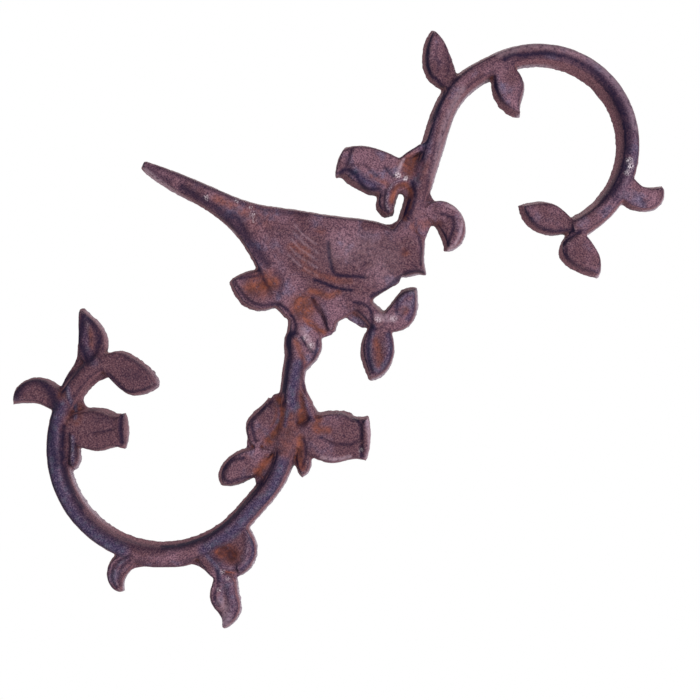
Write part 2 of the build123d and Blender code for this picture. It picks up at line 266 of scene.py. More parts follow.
@dataclass(frozen=True)
class AntiqueIron:
    """Sand-cast iron, antiqued: a thin mauve-brown oxide over grey metal, rubbed by hand.

    The raised faces are a dusty mauve, browner in places. The carved lines hold a dark indigo wax, and
    the slopes that face away from the light take the same colour as painted shade. The drafted walls
    are a brownish mauve, with a pale painted light where they face the light and at their feet, and the
    hollows hold rust. The sand leaves a fine matte grain of dark pits all over, a few crests are rubbed
    to bare, pale metal, and pale painted glints sit on some raised places. Oxide and wax cover the iron,
    so it has no metallic shine.

    Attributes:
        face: oxide on the raised faces.
        face_brown: the same where it is browner.
        wall: the drafted walls.
        edge: pale painted light on the walls that face the light, and on the feet of all walls.
        wax_and_shade: dark wax in lines and pits, and painted shade on slopes and along edges.
        slate: bloom brushed along crests.
        steel: the same where it is bluer.
        lilac: the same where it is thin, and faint clouds on the faces.
        rust: rust in hollows.
        rust_deep: the same where it is older.
        pale: painted highlight along some edges, ridges and raised lines.
        bare_and_glints: bare metal on worn crests and grain peaks, and pale painted glints.
        grain_mm: grain of the moulding sand, finer in life and drawn as coarse as it needs to show.
        speckle_mm: size of the wax's speckles.
        mottle_mm: size of the mottling in wax, bloom and rust.
        bloom_mm: size of the lilac clouds.
        cloud_mm: size of the brown clouds.
        rough_noise: how rough each of these patterns is.
        speckle_share: weight of the speckles.
        pit_share: weight of the grain's pits.
        late_pit_share: weight of the same pits over rust, bloom and wax.
        peak_share: weight of the grain's bare peaks.
        thin_share: weight of the thin places in the bloom.
        bump: strength of the grain's relief.
        bump_mm: depth of that relief.
        roughness: how matte it is.
        gloss: what shine is left.
    """

    face: str = "#7f5b68"
    face_brown: str = "#5f3f46"
    wall: str = "#7a5259"
    edge: str = "#a3929c"
    wax_and_shade: str = "#110c25"
    slate: str = "#2f2743"
    steel: str = "#434558"
    lilac: str = "#6f6078"
    rust: str = "#854b3a"
    rust_deep: str = "#58332c"
    pale: str = "#a58c98"
    bare_and_glints: str = "#cdc2c8"
    grain_mm: float = 0.5
    speckle_mm: float = 1.3
    mottle_mm: float = 3.0
    bloom_mm: float = 6.0
    cloud_mm: float = 14.0
    rough_noise: float = 0.6
    speckle_share: float = 0.3
    pit_share: float = 0.55
    late_pit_share: float = 0.35
    peak_share: float = 0.08
    thin_share: float = 0.6
    bump: float = 0.6
    bump_mm: float = 0.25
    roughness: float = 0.7
    gloss: float = 0.05

    def layers(self) -> tuple[Layer, ...]:
        """Set down how the finish is layered.

        Returns:
            The layers over the faces' oxide, the lowest first.
        """
        return (
            Layer(self.lilac, "", Pattern.BLOOM, 0.5, 0.7),
            Layer(self.face_brown, "brown", Pattern.CLOUD, 0.32, 0.68, join=Join.EITHER),
            Layer(self.wall, "wall"),
            # Pale painted light on the walls that face the light, and along the feet of all walls
            Layer(self.edge, "edge"),
            # Speckles, pits and peaks of the grain
            Layer(self.wax_and_shade, "", Pattern.SPECKLE, 0.5, 0.3, self.speckle_share),
            Layer(self.wax_and_shade, "", Pattern.GRAIN, 0.6, 0.32, self.pit_share),
            Layer(self.bare_and_glints, "", Pattern.GRAIN, 0.5, 0.75, self.peak_share),
            # Rust, the bloom on the crests, dark wax with painted shade, and the pits again
            Layer(self.rust, "rust", Pattern.SPECKLE, 0.2, 0.5, over=(
                Layer(self.rust_deep, "", Pattern.MOTTLE, 0.35, 0.65),
            )),
            Layer(self.slate, "slate", Pattern.SPECKLE, 0.15, 0.45, over=(
                Layer(self.steel, "", Pattern.MOTTLE, 0.48, 0.62),
                Layer(self.lilac, "", Pattern.GRAIN, 0.4, 0.75, self.thin_share),
            )),
            Layer(self.wax_and_shade, "wax_and_shade", Pattern.MOTTLE, 0.15, 0.45),
            Layer(self.wax_and_shade, "", Pattern.GRAIN, 0.6, 0.32, self.late_pit_share),
            # The pale painted highlight, then bare metal and the pale painted glints
            Layer(self.pale, "light", Pattern.SPECKLE, 0.25, 0.6),
            Layer(self.bare_and_glints, "bare_and_glints", Pattern.GRAIN, 0.45, 0.6),
        )

    def coat(
        self,
        tree: bpy.types.NodeTree,
        patterns: dict[Pattern, bpy.types.NodeSocket],
        under: object,
        layers: tuple[Layer, ...],
    ) -> object:
        """Lay layers over a colour.

        Args:
            tree: the material's nodes.
            patterns: where each pattern comes from.
            under: the colour under the layers.
            layers: the layers, the lowest first.

        Returns:
            The colour with all of them on it.
        """
        for layer in layers:
            shares = []
            if layer.mark:
                settings = {"attribute_name": layer.mark}
                shares.append(add_node(tree, "ShaderNodeAttribute", settings).outputs["Fac"])
            if layer.pattern:
                settings = {"interpolation_type": "SMOOTHSTEP"}
                links = {"Value": patterns[layer.pattern], "From Min": layer.low, "From Max": layer.high}
                shares.append(add_node(tree, "ShaderNodeMapRange", settings, links).outputs["Result"])
            if layer.share < 1:
                shares.append(layer.share)
            share = shares[0]
            for other in shares[1:]:
                settings = {"operation": layer.join.value}
                share = add_node(tree, "ShaderNodeMath", settings, {0: share, 1: other}).outputs[0]
            colour = self.coat(tree, patterns, linear(layer.colour), layer.over)
            links = {0: share, 6: under, 7: colour}
            under = add_node(tree, "ShaderNodeMix", {"data_type": "RGBA"}, links).outputs[2]
        return under

    def material(self) -> bpy.types.Material:
        """Build the finish as a node material.

        Returns:
            The material, which reads the casting's own attributes and Object coordinates.
        """
        material = bpy.data.materials.new("antiqued_cast_iron")
        material.use_nodes = True
        tree = material.node_tree
        tree.nodes.clear()
        place = add_node(tree, "ShaderNodeTexCoord").outputs["Object"]
        patterns = {}
        for pattern, size_mm, detail in (
            (Pattern.GRAIN, self.grain_mm, 2.0),
            (Pattern.SPECKLE, self.speckle_mm, 3.0),
            (Pattern.MOTTLE, self.mottle_mm, 4.0),
            (Pattern.BLOOM, self.bloom_mm, 3.0),
            (Pattern.CLOUD, self.cloud_mm, 3.0),
        ):
            links = {"Vector": place, "Scale": 1 / (size_mm * MM), "Detail": detail}
            links["Roughness"] = self.rough_noise
            patterns[pattern] = add_node(tree, "ShaderNodeTexNoise", links=links).outputs["Fac"]
        colour = self.coat(tree, patterns, linear(self.face), self.layers())
        grain = patterns[Pattern.GRAIN]
        relief = {"Height": grain, "Strength": self.bump, "Distance": self.bump_mm * MM}
        bump = add_node(tree, "ShaderNodeBump", links=relief).outputs["Normal"]
        links = {
            "Base Color": colour, "Normal": bump,
            "Roughness": self.roughness, "Specular IOR Level": self.gloss,
        }
        shader = add_node(tree, "ShaderNodeBsdfPrincipled", links=links)
        add_node(tree, "ShaderNodeOutputMaterial", links={"Surface": shader.outputs["BSDF"]})
        return material


@dataclass
class Casting:
    """The hook's one casting: the solid, melted to the soft edges of a sand mould and carved.

    Heights are over the flat back, in millimetres. A lean is 0 on the face and the back and 1 on a
    sheer wall, and a tilt is 0 on the face, 1 on a sheer wall and 2 on the back. A range is the two
    ends between which something comes in.

    Attributes:
        node: the solid that it stands for.
        slot: a name for a material slot; not used.
        weld_mm: distance under which two of the solid's points are one.
        voxel_mm: size of the cells that the solid is remeshed with.
        soften: rounds of smoothing that take the cells' steps away.
        round_off: rounds of smoothing of the relief's height alone, which round its shoulders.
        blend: more such rounds where leaves, buds and stems run into each other.
        fill: yet more where a hollow is shallow.
        most_triangles: limit that the finished mesh stays under.
        coarse_mm: depth of the uneven skin that the sand leaves.
        fine_mm: depth of the grain on top of it.
        ragged_mm: how far the flash along the parting line wanders in and out.
        swell_mm: how far the walls go out again, after the smoothing has drawn them in.
        coarse_size_mm: size of that skin's bumps.
        fine_size_mm: size of the grain.
        ragged_size_mm: size of the flash's teeth.
        skin_detail: how many times each of these has finer ones on it.
        least_ragged: share of the flash where it isn't ragged.
        spare_mm: room that a ridge leaves under the solid's front.
        ease: how far the carving is smoothed.
        carved_facing: range of facing the front in which a stroke cuts.
        carved_height: range of heights for that.
        side_lean: range of leans in which the walls swell.
        flash_lean: range of leans in which they are ragged.
        flash_height: range of heights over which that ends.
        broad_rounds: rounds of averaging that give the lie of the surface.
        hollow_rounds: rounds that tell a hollow.
        crest_rounds: rounds that tell a crest.
        face_height: range of heights where the face begins.
        floor_height: range of heights where the floors of hollows begin.
        floor_tilt: range of tilts over which a floor ends.
        highlight_height: range of heights where the painted highlight begins.
        stroke_edge: power that broadens a stroke's colour.
        shoulder_tilt: range of tilts where a shoulder begins.
        slope_tilt: range of tilts where a slope begins.
        steep_tilt: range of tilts over which both end.
        shoulder_side: range of facing away from the light, for shoulders.
        slope_side: the same for slopes.
        shoulder_wax_shade: dark wax and painted shade on every shoulder.
        side_shade: painted shade on what faces away from the light, on shoulders on top of that.
        missing_wax_shade: share of that wax and painted shade that is missing where a hollow is filled.
        bloom_tilt: range of tilts over which the bloom ends.
        wall_tilt: range of tilts where a wall begins.
        lit_wall_tilt: range of tilts where a wall can take the pale painted light.
        lit_side: range of facing the light.
        lit_height: range of heights over which that painted light ends.
        foot_height: range of heights over which the foot ends.
        foot_share: how much pale painted light the foot takes all round.
        unlit: share of that painted light that is missing where the walls are brown.
        rust_mm: range of a hollow's depth in which rust begins.
        crest_mm: range of a crest's height in which it is bare.
        crest_share: how bare it gets.
    """

    node: str = "plant_hook"
    slot: str = "cast_iron"
    weld_mm: float = 0.002
    voxel_mm: float = 0.6
    soften: int = 3
    round_off: int = 14
    blend: int = 70
    fill: int = 900
    most_triangles: int = 190_000
    coarse_mm: float = 0.22
    fine_mm: float = 0.12
    ragged_mm: float = 1.2
    swell_mm: float = 0.25
    coarse_size_mm: float = 4.0
    fine_size_mm: float = 1.2
    ragged_size_mm: float = 1.8
    skin_detail: int = 2
    least_ragged: float = 0.25
    spare_mm: float = 0.1
    ease: float = 0.4
    carved_facing: Range = (0.1, 0.5)
    carved_height: Range = (2.5, 4.5)
    side_lean: Range = (0.3, 0.9)
    flash_lean: Range = (0.5, 0.9)
    flash_height: Range = (2.0, 5.0)
    broad_rounds: int = 4
    hollow_rounds: int = 40
    crest_rounds: int = 8
    face_height: Range = (3.0, 5.5)
    floor_height: Range = (1.0, 2.2)
    floor_tilt: Range = (0.5, 0.8)
    highlight_height: Range = (0.3, 1.0)
    stroke_edge: float = 0.6
    shoulder_tilt: Range = (0.1, 0.28)
    slope_tilt: Range = (0.01, 0.2)
    steep_tilt: Range = (0.45, 0.65)
    shoulder_side: Range = (0.2, 1.0)
    slope_side: Range = (0.2, 0.9)
    shoulder_wax_shade: float = 0.4
    side_shade: float = 0.55
    missing_wax_shade: float = 0.85
    bloom_tilt: Range = (0.45, 0.7)
    wall_tilt: Range = (0.3, 0.7)
    lit_wall_tilt: Range = (0.25, 0.7)
    lit_side: Range = (0.0, 0.6)
    lit_height: Range = (1.5, 4.5)
    foot_height: Range = (0.3, 1.1)
    foot_share: float = 0.3
    unlit: float = 0.8
    rust_mm: Range = (0.35, 1.0)
    crest_mm: Range = (0.12, 0.35)
    crest_share: float = 0.12

    def build(self) -> bpy.types.Object:
        """Model the casting.

        Returns:
            The finished piece, placed by its mesh.
        """
        piece = self.copy_of_solid()
        self.melt(piece)
        self.carve(piece)
        self.roughen(piece)
        self.thin(piece)
        self.mark(piece)
        return piece

    def copy_of_solid(self) -> bpy.types.Object:
        """Copy the solid's mesh and merge its loose triangles.

        Returns:
            A new object with its own mesh.
        """
        piece = bpy.data.objects.new("casting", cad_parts[self.node].data.copy())
        bpy.context.scene.collection.objects.link(piece)
        bpy.ops.object.select_all(action="DESELECT")
        piece.select_set(True)
        bpy.context.view_layer.objects.active = piece
        bpy.ops.object.mode_set(mode="EDIT")
        bpy.ops.mesh.select_all(action="SELECT")
        bpy.ops.mesh.remove_doubles(threshold=self.weld_mm * MM)
        bpy.ops.object.mode_set(mode="OBJECT")
        return piece

    def apply(self, piece: bpy.types.Object, kind: str, **settings: object) -> None:
        """Add a modifier to a piece and apply it.

        Args:
            piece: the piece that takes it.
            kind: Blender's name of the modifier type.
            **settings: the modifier's own settings.
        """
        modifier = piece.modifiers.new(kind.lower(), kind)
        for name, value in settings.items():
            setattr(modifier, name, value)
        bpy.context.view_layer.objects.active = piece
        bpy.ops.object.modifier_apply(modifier=modifier.name)

    def melt(self, piece: bpy.types.Object) -> None:
        """Remesh the piece evenly, round its relief and blend its joints.

        Args:
            piece: the casting.
        """
        self.apply(piece, "REMESH", mode="VOXEL", voxel_size=self.voxel_mm * MM, use_smooth_shade=True)
        self.apply(piece, "SMOOTH", factor=SMOOTHING, iterations=self.soften)
        height_only = {"factor": SMOOTHING, "use_x": False, "use_z": False}
        self.apply(piece, "SMOOTH", iterations=self.round_off, **height_only)
        co, _, _ = surface(piece)
        group = self.group(piece, "joints", patches(co, JOINTS))
        self.apply(piece, "SMOOTH", iterations=self.blend, vertex_group=group, **height_only)
        group = self.group(piece, "filled", patches(co, FILLED))
        self.apply(piece, "SMOOTH", iterations=self.fill, vertex_group=group, **height_only)

    def group(self, piece: bpy.types.Object, name: str, weights: np.ndarray) -> str:
        """Make a vertex group.

        Args:
            piece: the object that takes it.
            name: the group's name.
            weights: a weight from 0 to 1 for each point.

        Returns:
            The group's name.
        """
        group = piece.vertex_groups.new(name=name)
        for index in np.nonzero(weights > LEAST_WEIGHT)[0]:
            group.add([int(index)], float(weights[index]), "REPLACE")
        return group.name

    def carve(self, piece: bpy.types.Object) -> None:
        """Press every groove into the face, then raise every ridge as far as the solid's front.

        Args:
            piece: the casting.
        """
        co, normal, _ = surface(piece)
        front = fade(-normal[:, 1], *self.carved_facing) * fade(-co[:, 1], *self.carved_height)
        room = np.clip(co[:, 1] - cad_box[0][1] / MM - self.spare_mm, 0, None)
        cuts = {"grooves": np.zeros(len(co)), "ridges": np.zeros(len(co))}
        for stroke in (s for s in STROKES if s.depth):
            name = "grooves" if stroke.depth > 0 else "ridges"
            cuts[name] = np.maximum(cuts[name], abs(stroke.depth) * press(co, stroke))
        cuts["ridges"] = np.minimum(cuts["ridges"], room)
        for name, sign in (("grooves", 1), ("ridges", -1)):
            most = float(cuts[name].max())
            group = self.group(piece, name, cuts[name] * front / most)
            push = sign * most * MM
            self.apply(piece, "DISPLACE", direction="Y", mid_level=0.0, strength=push, vertex_group=group)
        self.apply(piece, "SMOOTH", factor=self.ease, iterations=1)

    def roughen(self, piece: bpy.types.Object) -> None:
        """Give the skin the unevenness of a sand mould, and its foot a ragged flash.

        Args:
            piece: the casting.
        """
        co, normal, _ = surface(piece)
        lean = np.hypot(normal[:, 0], normal[:, 2])
        sides = self.group(piece, "sides", fade(lean, *self.side_lean))
        self.apply(piece, "DISPLACE", mid_level=0.0, strength=self.swell_mm * MM, vertex_group=sides)
        wall = fade(lean, *self.flash_lean) * (1 - fade(-co[:, 1], *self.flash_height))
        ragged = self.least_ragged + (1 - self.least_ragged) * patches(co, RAGGED)
        walls = self.group(piece, "walls", wall * ragged)
        # Each skin's name, size and depth, the share of its depth that goes in, and where it is
        skins = (
            ("flash", self.ragged_size_mm, self.ragged_mm, 0.6, walls),
            ("sand_skin", self.coarse_size_mm, self.coarse_mm, 1.0, ""),
            ("sand_grain", self.fine_size_mm, self.fine_mm, 1.0, ""),
        )
        for name, size_mm, depth_mm, level, group in skins:
            texture = bpy.data.textures.new(name, "CLOUDS")
            texture.noise_scale = size_mm * MM
            texture.noise_depth = self.skin_detail
            self.apply(
                piece, "DISPLACE", texture=texture, texture_coords="LOCAL", direction="NORMAL",
                mid_level=level, strength=depth_mm * MM, vertex_group=group,
            )

    def thin(self, piece: bpy.types.Object) -> None:
        """Bring the mesh under its limit of triangles.

        Args:
            piece: the casting.
        """
        triangles = sum(len(face.vertices) - 2 for face in piece.data.polygons)
        log.info("casting has %d triangles before thinning", triangles)
        if triangles > self.most_triangles:
            self.apply(piece, "DECIMATE", ratio=self.most_triangles / triangles)

    def slope_wax_shade(self, broad: np.ndarray, tilt: np.ndarray) -> np.ndarray:
        """Work out where slopes take dark wax and painted shade, most where they face away from the light.

        Args:
            broad: the lie of the surface at each point.
            tilt: its tilt there.

        Returns:
            A weight from 0 to 1 for each point.
        """
        lean = np.clip(np.hypot(broad[:, 0], broad[:, 2]), LEAST_LEAN, None)
        side = (SHADED_SIDE[0] * broad[:, 0] + SHADED_SIDE[1] * broad[:, 2]) / lean
        gentle = 1 - fade(tilt, *self.steep_tilt)
        wax_and_shade = self.shoulder_wax_shade + self.side_shade * fade(side, *self.shoulder_side)
        shoulder = fade(tilt, *self.shoulder_tilt) * gentle * wax_and_shade
        slope = self.side_shade * fade(tilt, *self.slope_tilt) * fade(side, *self.slope_side) * gentle
        return np.maximum(shoulder, slope)

    def lit_walls(self, co: np.ndarray, broad: np.ndarray, tilt: np.ndarray) -> np.ndarray:
        """Work out where the walls get pale painted light: where they face the light, and at their feet.

        Args:
            co: points in millimetres.
            broad: the lie of the surface at each point.
            tilt: its tilt there.

        Returns:
            A weight from 0 to 1 for each point.
        """
        height = -co[:, 1]
        side = LIT_SIDE[0] * broad[:, 0] + LIT_SIDE[1] * broad[:, 2]
        wall = fade(side, *self.lit_side) * (1 - fade(height, *self.lit_height))
        foot = 1 - fade(height, *self.foot_height)
        kept = 1 - self.unlit * patches(co, UNLIT_WALLS)
        return np.maximum(wall, self.foot_share * foot) * fade(tilt, *self.lit_wall_tilt) * kept

    def mark(self, piece: bpy.types.Object) -> None:
        """Write the attributes that the finish reads, one for each of its colours.

        Args:
            piece: the casting.
        """
        co, normal, edges = surface(piece)
        broad = spread(normal, edges, self.broad_rounds)
        broad /= np.linalg.norm(broad, axis=1)[:, None]
        tilt = 1 + broad[:, 1]
        height = -co[:, 1]
        hollow = np.einsum("ij,ij->i", spread(co, edges, self.hollow_rounds) - co, broad)
        crest = np.einsum("ij,ij->i", co - spread(co, edges, self.crest_rounds), broad)
        face = fade(height, *self.face_height)
        raised = fade(height, *self.floor_height)
        floor = raised * (1 - fade(tilt, *self.floor_tilt))
        highlight_reach = fade(height, *self.highlight_height)
        reaches = {Tone.WAX: np.maximum(face, floor), Tone.RUST: floor, Tone.LIGHT: highlight_reach}
        painted = {tone: np.zeros(len(co)) for tone in Tone}
        for stroke in STROKES:
            reach = reaches.get(stroke.tone, face)
            colour = stroke.strength * press(co, stroke) ** self.stroke_edge * reach
            painted[stroke.tone] = np.maximum(painted[stroke.tone], colour)
        # Dark wax with painted shade on the slopes, and pale painted glints on raised places
        sloped_wax_shade = self.slope_wax_shade(broad, tilt) * face * (1 - self.missing_wax_shade * patches(co, FILLED))
        rusty = np.maximum(patches(co, RUST) * floor, painted[Tone.RUST])
        glints = patches(co, PAINTED_GLINTS) * raised
        # Besides wax, rust and wear, these marks hold painted highlights and pale painted light on the
        # walls
        marks = {
            "slate": painted[Tone.SLATE] * (1 - fade(tilt, *self.bloom_tilt)),
            "light": painted[Tone.LIGHT],
            "brown": np.maximum(patches(co, BROWN), painted[Tone.BROWN]),
            "wall": fade(tilt, *self.wall_tilt),
            "edge": self.lit_walls(co, broad, tilt),
            "wax_and_shade": np.maximum(sloped_wax_shade, painted[Tone.WAX]),
            "rust": np.clip(fade(hollow, *self.rust_mm) + rusty, 0, 1),
            "bare_and_glints": np.clip(glints + self.crest_share * fade(crest, *self.crest_mm) * face, 0, 1),
        }
        for name, values in marks.items():
            attribute = piece.data.attributes.new(name, "FLOAT", "POINT")
            attribute.data.foreach_set("value", values.astype(np.float32))

    def dress(self, piece: bpy.types.Object, finish: AntiqueIron) -> None:
        """Put the finish on the piece and seat it in the frame.

        Args:
            piece: the finished casting.
            finish: what its surface is.
        """
        piece.data.materials.clear()
        piece.data.materials.append(finish.material())
        bpy.context.view_layer.objects.active = piece
        bpy.ops.object.select_all(action="DESELECT")
        piece.select_set(True)
        bpy.ops.object.shade_smooth()
        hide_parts(self.node)
        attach(piece, "root")


def surface(piece: bpy.types.Object) -> tuple[np.ndarray, np.ndarray, np.ndarray]:
    """Read a mesh.

    Args:
        piece: the object to read.

    Returns:
        Its points in millimetres, its normals and the pairs of points that its edges join.
    """
    mesh = piece.data
    co = np.empty(len(mesh.vertices) * 3)
    mesh.vertices.foreach_get("co", co)
    normal = np.empty(len(mesh.vertices) * 3)
    mesh.vertices.foreach_get("normal", normal)
    edges = np.empty(len(mesh.edges) * 2, int)
    mesh.edges.foreach_get("vertices", edges)
    return co.reshape(-1, 3) / MM, normal.reshape(-1, 3), edges.reshape(-1, 2)


def spread(values: np.ndarray, edges: np.ndarray, rounds: int) -> np.ndarray:
    """Average values over a mesh.

    Args:
        values: one row for each point.
        edges: pairs of points that are joined.
        rounds: how often each point moves towards the mean of its neighbours.

    Returns:
        The averaged values.
    """
    total = len(values)
    first, second = edges.T
    count = np.bincount(edges.ravel(), minlength=total)
    columns = values.T.copy()
    for _ in range(rounds):
        for i, column in enumerate(columns):
            near = np.bincount(first, column[second], total) + np.bincount(second, column[first], total)
            columns[i] = (1 - SMOOTHING) * column + SMOOTHING * near / count
    return columns.T


def press(co: np.ndarray, stroke: Stroke) -> np.ndarray:
    """Work out how far a stroke reaches each point.

    Args:
        co: points in millimetres.
        stroke: the stroke.

    Returns:
        A share from 0 to 1 for each point, 1 on its line.
    """
    line = smooth_path(stroke.points)
    share = np.zeros(len(co))
    flat = co[:, [0, 2]]
    low, high = line.min(0) - stroke.width, line.max(0) + stroke.width
    near = np.nonzero(((flat > low) & (flat < high)).all(1))[0]
    if len(near):
        gaps = np.linalg.norm(flat[near][:, None] - line[None], axis=2).min(1)
        share[near] = 1 - fade(gaps, 0.0, stroke.width)
    return share


def patches(co: np.ndarray, spots: tuple[Spot, ...]) -> np.ndarray:
    """Work out the weight of a set of spots at each point.

    Args:
        co: points in millimetres.
        spots: the spots.

    Returns:
        A weight from 0 to 1 for each point.
    """
    weight = np.zeros(len(co))
    for spot in spots:
        gap = np.hypot(co[:, 0] - spot.place[0], co[:, 2] - spot.place[1])
        weight = np.maximum(weight, spot.strength * (1 - fade(gap, SPOT_CORE * spot.radius, spot.radius)))
    return weight


@dataclass(frozen=True)
class Lamp:
    """A soft round lamp that faces the hook.

    Attributes:
        name: the lamp's name.
        aside: how far to the right in the picture, in millimetres.
        above: how far up in the picture, in millimetres.
        ahead: how far in front of the hook, or behind it if less than 0, in millimetres.
        size: how wide it is, in millimetres.
        power: its power in watts.
    """

    name: str
    aside: float
    above: float
    ahead: float
    size: float
    power: float


@dataclass
class Studio:
    """The white table-top set: a pale floor, soft lamps and the camera.

    Attributes:
        middle: the point that the camera looks at, in millimetres.
        distance: from the camera to the flat back, in millimetres.
        field: width of the picture at the flat back, in millimetres.
        roll: how far the hook leans in the picture, in degrees.
        floor_drop: how far the floor lies under the hook's lowest point, in millimetres.
        floor_radius: size of the floor, in millimetres.
        floor_core: share of that radius inside which the floor is solid.
        floor_sides: how many sides stand for its round rim.
        white: colour of the floor.
        sky_light: strength of the world's fill light.
        lamps: the lamps.
    """

    middle: tuple[float, float] = (15.6, -133.6)
    distance: float = 488.0
    field: float = 266.0
    roll: float = 51.08
    floor_drop: float = 190.0
    floor_radius: float = 350.0
    floor_core: float = 0.45
    floor_sides: int = 96
    white: str = "#f6f5f4"
    sky_light: float = 0.6
    lamps: tuple[Lamp, ...] = (
        Lamp("key", 460, -190, 330, 420, 3.3),
        Lamp("fill", -60, 120, 560, 480, 1.6),
        Lamp("back_fill", 120, 300, -420, 480, 2.0),
    )

    def axes(self) -> tuple[Vector, Vector]:
        """Return the directions that are right and up in the picture."""
        turn = math.radians(self.roll)
        return Vector((math.cos(turn), 0, math.sin(turn))), Vector((-math.sin(turn), 0, math.cos(turn)))

    def camera(self) -> bpy.types.Object:
        """Set up the camera square to the hook's face.

        Returns:
            The camera, made the scene's own.
        """
        right, up = self.axes()
        data = bpy.data.cameras.new("camera")
        data.lens = data.sensor_width * self.distance / self.field
        camera = bpy.data.objects.new("camera", data)
        turn = Matrix((right, up, right.cross(up))).transposed().to_4x4()
        place = Vector((self.middle[0], -self.distance, self.middle[1])) * MM
        camera.matrix_world = Matrix.Translation(place) @ turn
        bpy.context.scene.collection.objects.link(camera)
        bpy.context.scene.camera = camera
        return camera

    def light(self, lamp: Lamp) -> None:
        """Hang a lamp in its place.

        Args:
            lamp: the lamp.
        """
        right, up = self.axes()
        middle = Vector((self.middle[0], 0, self.middle[1])) * MM
        place = middle + (right * lamp.aside + up * lamp.above + Vector((0, -lamp.ahead, 0))) * MM
        data = bpy.data.lights.new(lamp.name, "AREA")
        data.shape = "DISK"
        data.size = lamp.size * MM
        data.energy = lamp.power
        hung = bpy.data.objects.new(lamp.name, data)
        turn = (middle - place).to_track_quat("-Z", "Y").to_matrix().to_4x4()
        hung.matrix_world = Matrix.Translation(place) @ turn
        bpy.context.scene.collection.objects.link(hung)

    def floor(self) -> bpy.types.Object:
        """Lay the floor under the hook.

        Returns:
            The floor.
        """
        bpy.ops.object.select_all(action="DESELECT")
        lowest = cad_box[0][2]
        bpy.ops.mesh.primitive_circle_add(
            vertices=self.floor_sides, radius=self.floor_radius * MM, fill_type="NGON",
            location=(self.middle[0] * MM, 0, lowest - self.floor_drop * MM),
        )
        floor = bpy.context.active_object
        floor.name = "floor"
        floor.data.materials.append(self.paper())
        return floor

    def paper(self) -> bpy.types.Material:
        """Build the floor's finish: matte white paper that fades out at its rim.

        Returns:
            The material.
        """
        material = bpy.data.materials.new("white_paper")
        material.use_nodes = True
        tree = material.node_tree
        tree.nodes.clear()
        place = add_node(tree, "ShaderNodeTexCoord").outputs["Object"]
        reach = add_node(tree, "ShaderNodeVectorMath", {"operation": "LENGTH"}, {0: place}).outputs["Value"]
        rim = self.floor_radius * MM
        ramp = add_node(
            tree, "ShaderNodeMapRange", {"interpolation_type": "SMOOTHSTEP"},
            {"Value": reach, "From Min": self.floor_core * rim, "From Max": rim},
        ).outputs["Result"]
        matte = add_node(tree, "ShaderNodeBsdfDiffuse", links={"Color": linear(self.white)}).outputs[0]
        clear = add_node(tree, "ShaderNodeBsdfTransparent").outputs[0]
        blend = add_node(tree, "ShaderNodeMixShader", links={0: ramp, 1: matte, 2: clear}).outputs[0]
        add_node(tree, "ShaderNodeOutputMaterial", links={"Surface": blend})
        return material

    def sky(self) -> None:
        """Make the world white to the eye and in reflections, and a soft fill light otherwise."""
        world = bpy.data.worlds.new("studio")
        bpy.context.scene.world = world
        world.use_nodes = True
        tree = world.node_tree
        tree.nodes.clear()
        rays = add_node(tree, "ShaderNodeLightPath").outputs
        seen = rays["Is Camera Ray"]
        for name in ("Is Glossy Ray", "Is Transmission Ray"):
            most = {"operation": "MAXIMUM"}
            seen = add_node(tree, "ShaderNodeMath", most, {0: seen, 1: rays[name]}).outputs[0]
        fill, white = (
            add_node(
                tree, "ShaderNodeBackground", links={"Color": (1, 1, 1, 1), "Strength": strength}
            ).outputs[0]
            for strength in (self.sky_light, 1.0)
        )
        blend = add_node(tree, "ShaderNodeMixShader", links={0: seen, 1: fill, 2: white}).outputs[0]
        add_node(tree, "ShaderNodeOutputWorld", links={"Surface": blend})

    def build(self) -> None:
        """Set up the whole studio."""
        bpy.context.scene.view_settings.view_transform = "Standard"
        self.sky()
        self.floor()
        for lamp in self.lamps:
            self.light(lamp)
        self.camera()


# Ways that the walls with pale painted light and the slopes with painted shade face, x and z
LIT_SIDE = (0.88, 0.47)
SHADED_SIDE = (-0.7, -0.71)

# Middles of the two hooks, x and z in millimetres
UPPER = (0.0, -29.8)
LOWER = (0.0, -211.8)

# The wing's feathers, faint raised lines that fan out from its leading edge
FEATHERS = between(
    ((-34, -120.1), (-29.5, -120.2), (-23, -118.6)), ((-26.5, -129.2), (-21, -128.4), (-13.5, -125.6)), 5,
)
